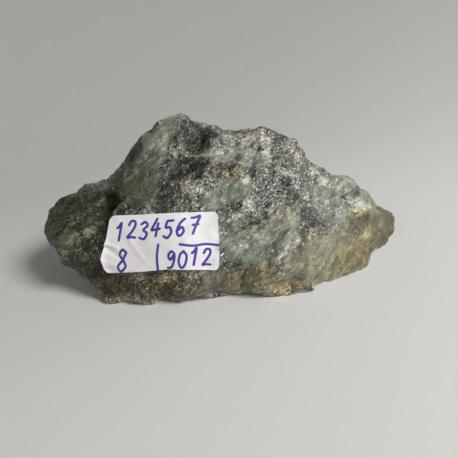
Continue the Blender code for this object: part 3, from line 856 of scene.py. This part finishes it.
def rock_material(name, crystal):
    """The rock: mica schist where the beryl attribute is low, and beryl where it is high."""
    made, tree, shader, place = new_material(name)
    grains = grain_places(tree, place)
    fine_colour = grain_values(tree, grains, FINE_GRAIN)
    fine = channels(tree, fine_colour)
    middle = channels(tree, grain_values(tree, grains, MIDDLE_GRAIN))
    is_beryl = is_beryl_share(tree, place, fine, middle)

    schist, beryl = grain_colour(tree, place, fine, middle), beryl_colour(tree, place, fine, middle)
    colour = mixed(tree, is_beryl, schist, beryl)
    bright = calc(tree, "MULTIPLY_ADD", middle[0], 0.7, calc(tree, "MULTIPLY", fine[2], 0.6))
    bright = calc(tree, "SUBTRACT", bright, 0.1)
    bright = calc(tree, "MULTIPLY_ADD", attribute(tree, "pale"), 0.25, bright, clamp=True)
    feldspar = mixed(tree, bright, DULL_FELDSPAR, FELDSPAR)
    colour = mixed(tree, feldspar_share(tree, place, is_beryl, fine, middle), colour, feldspar)
    # Rust, with a painted reflection of warm light from below.
    colour = mixed(tree, attribute(tree, "rust_and_bounce"), colour, RUST_AND_BOUNCE, "MULTIPLY")
    colour = mixed(tree, attribute(tree, "green"), colour, GREEN, "MULTIPLY")
    # Painted shade, mixed with some black mica bands, darkens the colour in the shaded zones.
    colour = mixed(tree, attribute(tree, "shade_and_dark"), colour, SHADOW, "MULTIPLY")

    dull = calc(tree, "MULTIPLY_ADD", fine[1], -0.50, 0.72)
    glassy = calc(tree, "MULTIPLY_ADD", pattern(tree, place, BERYL_GLOSS), 0.3, 0.32)
    rough = blended(tree, is_beryl, dull, glassy)
    normal = rock_normal(tree, place, is_beryl, fine_colour)
    set_inputs(tree, shader, {"Base Color": colour, "Roughness": rough, "Normal": normal})
    if crystal:
        set_inputs(tree, shader, BERYL_LIGHT)
    return made


# The rock's pieces

def finish_piece(mesh, name, material, slot, *nodes):
    """Shows a mesh as a piece of the rock, in place of some of the nodes."""
    mesh.name = name
    mesh.materials.clear()
    mesh.materials.append(material)
    piece = new_object(name, mesh)
    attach(piece, "root")
    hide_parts(*nodes)


def make_rock():
    """The schist and its crystals, cut from one surface so that they meet without a gap."""
    rock, owners = whole_rock()
    values = makeup(rock)
    roughen(rock, values["beryl"])
    # The hollows' depth, which the materials turn into painted shade.
    values["hollow"] = cavity(rock)
    for name, held in values.items():
        store(rock, name, held)
    points = coordinates(rock)
    faces = np.array([face.vertices[:] for face in rock.polygons])
    sunk = points.copy()
    beryl = rock_material("beryl", True)
    for number, node in enumerate(CRYSTALS, 1):
        patch, inner, border = patch_of(faces, owners, number)
        crystal, middle = crystal_mesh(points, values, patch, inner, border)
        sunk[inner] = middle + (points[inner] - middle) * POCKET_FLOOR
        finish_piece(crystal, node.replace("emerald_", "beryl_"), beryl, "emerald", node)
    smooth = rock.copy()
    move_points(rock, sunk)
    finish_piece(rock, "matrix_surface", rock_material("schist", False), "schist", "schist_matrix")
    return smooth


# The paper label

LABEL_CENTRE = (-13.592, -17.194, 14.2)
LABEL_RIGHT = Vector((0.9988, -0.0462, -0.0185)).normalized()
LABEL_UP = Vector((0.0374, 0.4524, 0.8910)).normalized()
LABEL_OUT = LABEL_RIGHT.cross(LABEL_UP)

# Its edges in its own plane: how far out each lies, at places along it.
LEFT_EDGE = [
    (-6, -12.1), (-5.2, -12.5), (-2.8, -13), (-0.7, -12.2), (1.3, -11.5), (5, -10.8), (6.1, -10.6),
]
RIGHT_EDGE = [(-6, 11.4), (0, 11.7), (6.1, 11.6)]
TOP_EDGE = [(-13, 6.1), (-5, 6), (3, 6.1), (11.7, 6.1)]
BOTTOM_EDGE = [(-13, -5.9), (-4.8, -5.7), (1.4, -5.3), (6.5, -5.7), (11.7, -6.2)]
CORNER = 1.1
# Its faces' size, the paper's thickness, and how high its front lies above the rock at least.
LABEL_GRID, SHEET, LABEL_CLEAR = 0.16, 0.12, 0.16
# Heights are measured by rays that start this far above its plane.
RAY_START = 8.0
# How far its middle stands up along it and across it, and half its size.
LABEL_BULGE, LABEL_BEND, LABEL_HALF = 0.5, 0.5, (12.5, 6.1)
# Its right end is pressed down onto the rock between these two places along it.
PRESSED = (2.0, 11.4)
# Rounds of smoothing: of the solid's surface, of the sheet, and of the rock below the pressed end.
SOLID_ROUNDS, SHEET_ROUNDS, PRESSED_ROUNDS = 24, 10, 30

# The label's writing is plain digits, drawn as pen strokes through points of a box one wide and one high.
DIGITS = {
    "0": [[(0.5, 1), (0.16, 0.8), (0.1, 0.35), (0.42, 0), (0.8, 0.2), (0.86, 0.7), (0.5, 1)]],
    "1": [[(0.2, 0.72), (0.42, 0.84), (0.62, 1), (0.56, 0.5), (0.5, 0)]],
    "2": [[(0.1, 0.76), (0.3, 0.98), (0.7, 0.96), (0.78, 0.7), (0.45, 0.34), (0.08, 0.04), (0.5, 0.06),
           (0.92, 0.02)]],
    "3": [[(0.12, 0.88), (0.5, 1), (0.8, 0.8), (0.42, 0.54), (0.84, 0.34), (0.6, 0.02), (0.08, 0.1)]],
    "4": [[(0.55, 1), (0.3, 0.66), (0.08, 0.36), (0.5, 0.38), (0.96, 0.42)],
          [(0.72, 0.72), (0.66, 0.36), (0.62, 0)]],
    "5": [[(0.88, 1), (0.55, 0.98), (0.28, 0.96), (0.2, 0.6), (0.62, 0.6), (0.84, 0.3), (0.5, 0),
           (0.08, 0.1)]],
    "6": [[(0.76, 0.98), (0.34, 0.72), (0.12, 0.28), (0.42, 0), (0.82, 0.22), (0.58, 0.5), (0.16, 0.3)]],
    "7": [[(0.1, 0.92), (0.5, 0.94), (0.92, 1), (0.66, 0.5), (0.46, 0)], [(0.32, 0.5), (0.86, 0.54)]],
    "8": [[(0.78, 0.86), (0.42, 1), (0.2, 0.76), (0.6, 0.48), (0.8, 0.2), (0.42, 0), (0.16, 0.24),
           (0.5, 0.52), (0.78, 0.86)]],
    "9": [[(0.8, 0.86), (0.44, 1), (0.16, 0.74), (0.44, 0.5), (0.8, 0.8), (0.82, 0.4), (0.6, 0.04),
           (0.24, 0.02)]],
}
# Each line of digits: its text, where its lower left corner is, its height, its pitch and its rise.
WRITING = [
    ("1234567", (-9.7, 1), 3.5, 2.55, 0.02),
    ("8", (-9.9, -5.2), 4.5, 3, 0),
    ("9012", (0.5, -5.1), 3.4, 2.55, 0.03),
]
RULES = [[(3.9, -0.3), (6.5, -0.7), (9, -0.5), (11.9, -0.9)], [(-0.5, -0.2), (-0.9, -2.8), (-0.9, -5.7)]]
# A digit's width, slant and unsteadiness, as shares of its height, and the seed of the last.
DIGIT_WIDTH, DIGIT_SLANT, DIGIT_SWAY, DIGIT_SEED = 0.55, 0.16, 0.05, 51
# Steps between two points of a stroke, half its width, its soft edge, its fray, and a distance with no ink.
STROKE_STEPS, PEN, PEN_EDGE, INK_FRAY, NO_INK = 8, 0.30, 0.07, 0.08, 9.0
INK = (0.045, 0.035, 0.30, 1)
PAPER, PAPER_SHADE = (0.86, 0.82, 0.83, 1), (0.77, 0.74, 0.76, 1)
# The paper's noise patterns, where its shade sets in, and the strength and height of its fibres.
PAPER_FIBRES, PAPER_CLOUDS, SHADE_EDGE = (0.35, 4.0, 0.6), (3.0, 3.0, 0.5), (0.35, 0.7)
PAPER_ROUGHNESS, FIBRE_STRENGTH, FIBRE_HEIGHT = 0.62, 0.5, 0.04

# Creases: where each starts and ends in the label's plane, how high it is and how wide.
CREASES = [
    ((-13, 0.6), (-9.4, -0.6), 0.34, 0.42), ((-11.6, -0.7), (-9, -2.6), -0.22, 0.55),
    ((-12.6, -3.4), (-8, -5.4), 0.20, 0.70), ((-9, 5.2), (-6.2, 1), 0.12, 0.80),
    ((-6.4, 0.6), (-3.4, -3.6), 0.12, 0.60), ((-4.6, 6), (-2.2, 3), -0.10, 0.70),
    ((2, -2.2), (5.6, -4.9), 0.10, 0.80), ((4.6, 5.4), (9.6, 2.8), 0.09, 0.90),
    ((8.4, -3.6), (11.2, -1.2), -0.10, 0.80), ((-2, 1.2), (1.6, -0.6), 0.07, 0.90),
]


def edge_at(edge, places):
    return np.interp(places, *zip(*edge))


def label_plan():
    """The label's points in its own plane, as rows from its lower edge to its upper one."""
    width, height = RIGHT_EDGE[1][1] - LEFT_EDGE[2][1], TOP_EDGE[0][1] - BOTTOM_EDGE[0][1]
    steps = [np.linspace(0, 1, round(size / LABEL_GRID)) for size in (width, height)]
    share_u, share_v = np.meshgrid(*steps)
    u, v = (share_u - 0.5) * width, (share_v - 0.5) * height
    # The edges shift each other's places, so the second round corrects the first.
    for _ in range(2):
        left, right = edge_at(LEFT_EDGE, v), edge_at(RIGHT_EDGE, v)
        low, high = edge_at(BOTTOM_EDGE, u), edge_at(TOP_EDGE, u)
        u, v = left + share_u * (right - left), low + share_v * (high - low)
    for edge_u, side_u in ((left, -1), (right, 1)):
        for edge_v, side_v in ((low, -1), (high, 1)):
            a, b = 1 - side_u * (edge_u - u) / CORNER, 1 - side_v * (edge_v - v) / CORNER
            inside = (a > 0) & (b > 0)
            a, b = a * np.sqrt(np.maximum(1 - b * b / 2, 0)), b * np.sqrt(np.maximum(1 - a * a / 2, 0))
            u = np.where(inside, edge_u - side_u * CORNER * (1 - a), u)
            v = np.where(inside, edge_v - side_v * CORNER * (1 - b), v)
    return u, v


def label_place(u, v, height):
    return (Vector(LABEL_CENTRE) + LABEL_RIGHT * u + LABEL_UP * v + LABEL_OUT * height) * MM


def heights_over(mesh, u, v, lowest):
    """How far above the label's plane a mesh lies below each point of it."""
    tree = face_tree(mesh)
    found = np.full(u.shape, lowest)
    for at in np.ndindex(u.shape):
        hit, _, _, distance = tree.ray_cast(label_place(u[at], v[at], RAY_START), -LABEL_OUT)
        if hit:
            found[at] = RAY_START - distance / MM
    return found


def blurred(grid, rounds):
    for _ in range(rounds):
        wide = np.pad(grid, 1, mode="edge")
        grid = 0.5 * grid + 0.125 * (wide[2:, 1:-1] + wide[:-2, 1:-1] + wide[1:-1, 2:] + wide[1:-1, :-2])
    return grid


def from_line(u, v, start, end):
    """The distance of points from a straight line between two places."""
    run = np.subtract(end, start)
    share = np.clip(((u - start[0]) * run[0] + (v - start[1]) * run[1]) / (run @ run), 0, 1)
    return np.hypot(u - start[0] - share * run[0], v - start[1] - share * run[1])


def smooth_stroke(points):
    """A pen stroke through points, as a rounded path."""
    points = [Vector(p) for p in points]
    ends = [points[0] * 2 - points[1], *points, points[-1] * 2 - points[-2]]
    path = []
    for a, b, c, d in zip(ends, ends[1:], ends[2:], ends[3:]):
        for step in range(STROKE_STEPS):
            t = step / STROKE_STEPS
            bend, twist = 2 * a - 5 * b + 4 * c - d, 3 * b - a - 3 * c + d
            path.append((2 * b + (c - a) * t + bend * t ** 2 + twist * t ** 3) / 2)
    return path + [points[-1]]


def strokes():
    """Every pen stroke on the label, in its plane."""
    rng = np.random.default_rng(DIGIT_SEED)
    paths = [smooth_stroke(rule) for rule in RULES]
    for text, corner, height, pitch, rise in WRITING:
        for number, digit in enumerate(text):
            sway = rng.normal(0, DIGIT_SWAY, 2)
            for stroke in DIGITS[digit]:
                points = []
                for x, y in stroke:
                    across = (x * DIGIT_WIDTH + y * DIGIT_SLANT + sway[0]) * height
                    upward = (y + number * rise + sway[1]) * height
                    points.append((corner[0] + number * pitch + across, corner[1] + upward))
                paths.append(smooth_stroke(points))
    return paths


def ink_distance(u, v):
    """How far each point of the label lies from the middle of the nearest stroke."""
    nearest = np.full(u.shape, NO_INK)
    for path in strokes():
        for start, end in zip(path, path[1:]):
            nearest = np.minimum(nearest, from_line(u, v, start, end))
    return nearest


def label_mesh(rock):
    """The label as a fine creased sheet that lies on the rock, and each point's distance from the ink."""
    u, v = label_plan()
    solid = heights_over(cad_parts["paper_label"].data, u, v, np.nan)
    solid = np.where(np.isnan(solid), np.nanmean(solid), solid)
    floor = heights_over(rock, u, v, -RAY_START) + LABEL_CLEAR
    height = blurred(solid - SHEET, SOLID_ROUNDS)
    height = blurred(np.maximum(height, floor), SHEET_ROUNDS)
    for start, end, rise, wide in CREASES:
        height = height + rise * np.exp(-(from_line(u, v, start, end) / wide) ** 2)
    height = height + LABEL_BULGE * (1 - (u / LABEL_HALF[0]) ** 2)
    height = height + LABEL_BEND * (1 - (v / LABEL_HALF[1]) ** 2)
    height = height + smooth_step(*PRESSED, u) * (blurred(floor, PRESSED_ROUNDS) - height)
    height = np.maximum(height, floor)
    bm = bmesh.new()
    rows = []
    for i in range(u.shape[0]):
        rows.append([bm.verts.new(label_place(u[i, j], v[i, j], height[i, j])) for j in range(u.shape[1])])
    for low, high in zip(rows, rows[1:]):
        for j in range(len(low) - 1):
            bm.faces.new((low[j], low[j + 1], high[j + 1], high[j]))
    mesh = mesh_of(bm, "label")
    store(mesh, "ink", ink_distance(u, v).ravel())
    return with_modifier(mesh, "SOLIDIFY", thickness=SHEET * MM, offset=-1)


def paper_material():
    """Matt white paper with blue ink on it."""
    made, tree, shader, place = new_material("paper")
    fibres = pattern(tree, place, PAPER_FIBRES)
    shade = smooth_share(tree, pattern(tree, place, PAPER_CLOUDS), *SHADE_EDGE)
    paper = mixed(tree, shade, PAPER, PAPER_SHADE)
    ragged = calc(tree, "MULTIPLY_ADD", fibres, INK_FRAY, attribute(tree, "ink"))
    wet = smooth_share(tree, ragged, PEN + PEN_EDGE, PEN - PEN_EDGE)
    colour = mixed(tree, wet, paper, INK)
    inputs = {"Height": fibres, "Strength": FIBRE_STRENGTH, "Distance": FIBRE_HEIGHT * MM}
    normal = add_node(tree, "Bump", inputs).outputs[0]
    set_inputs(tree, shader, {"Base Color": colour, "Roughness": PAPER_ROUGHNESS, "Normal": normal})
    return made


def make_label(rock):
    finish_piece(label_mesh(rock), "label_sheet", paper_material(), "paper", "paper_label")


# Floor, light and camera

def floor_mesh():
    """A level round floor that sweeps up on all sides into a backdrop."""
    profile = [(0.0, 0.0)]
    for turn in np.linspace(0, math.pi / 2, SWEEP_STEPS):
        reach = FLOOR_RADIUS + SWEEP_RADIUS * math.sin(turn)
        profile.append((reach, SWEEP_RADIUS * (1 - math.cos(turn))))
    profile.append((FLOOR_RADIUS + SWEEP_RADIUS, RIM_HEIGHT))
    bm = bmesh.new()
    line = [bm.verts.new((reach * MM, 0, height * MM)) for reach, height in profile]
    edges = [bm.edges.new(pair) for pair in zip(line, line[1:])]
    around = {"axis": (0, 0, 1), "angle": math.tau, "steps": FLOOR_STEPS}
    bmesh.ops.spin(bm, geom=line + edges, **around, use_merge=True)
    bmesh.ops.remove_doubles(bm, verts=bm.verts, dist=TINY)
    bmesh.ops.recalc_face_normals(bm, faces=bm.faces)
    mesh = mesh_of(bm, "floor")
    mesh.flip_normals()
    mesh.shade_smooth()
    return mesh


def make_stage():
    made, tree, shader, _ = new_material("floor")
    set_inputs(tree, shader, {"Base Color": FLOOR_COLOUR, "Roughness": FLOOR_ROUGHNESS})
    mesh = floor_mesh()
    mesh.materials.append(made)
    new_object("floor", mesh)

    light = bpy.data.lights.new("lamp", "AREA")
    light.shape = "DISK"
    light.size = LAMP_SIZE * MM
    light.energy = LAMP_WATTS
    lamp = new_object("lamp", light)
    lamp.location = Vector(LAMP_PLACE) * MM
    lamp.rotation_euler = (Vector(LAMP_PLACE) - Vector(LAMP_AIM)).to_track_quat("Z", "Y").to_euler()

    world = bpy.data.worlds.new("world")
    world.use_nodes = True
    background = world.node_tree.nodes["Background"]
    set_inputs(world.node_tree, background, {"Color": (1, 1, 1, 1), "Strength": GLOW})
    bpy.context.scene.world = world
    bpy.context.scene.view_settings.view_transform = "Standard"


def make_camera():
    pitch, roll = math.radians(CAMERA_PITCH), math.radians(CAMERA_ROLL)
    level = Vector((1, 0, 0))
    forward = Vector((0, math.cos(pitch), -math.sin(pitch)))
    upward = Vector((0, math.sin(pitch), math.cos(pitch)))
    right = math.cos(roll) * level - math.sin(roll) * upward
    above = math.sin(roll) * level + math.cos(roll) * upward
    lens = bpy.data.cameras.new("camera")
    lens.sensor_width = SENSOR
    lens.lens = FOCAL_PIXELS / PICTURE_PIXELS * SENSOR
    lens.clip_start = 1 * MM
    camera = new_object("camera", lens)
    turn = Matrix((right, above, -forward)).transposed().to_4x4()
    camera.matrix_world = Matrix.Translation(Vector(CAMERA_PLACE) * MM) @ turn
    bpy.context.scene.camera = camera


make_label(make_rock())
make_stage()
make_camera()
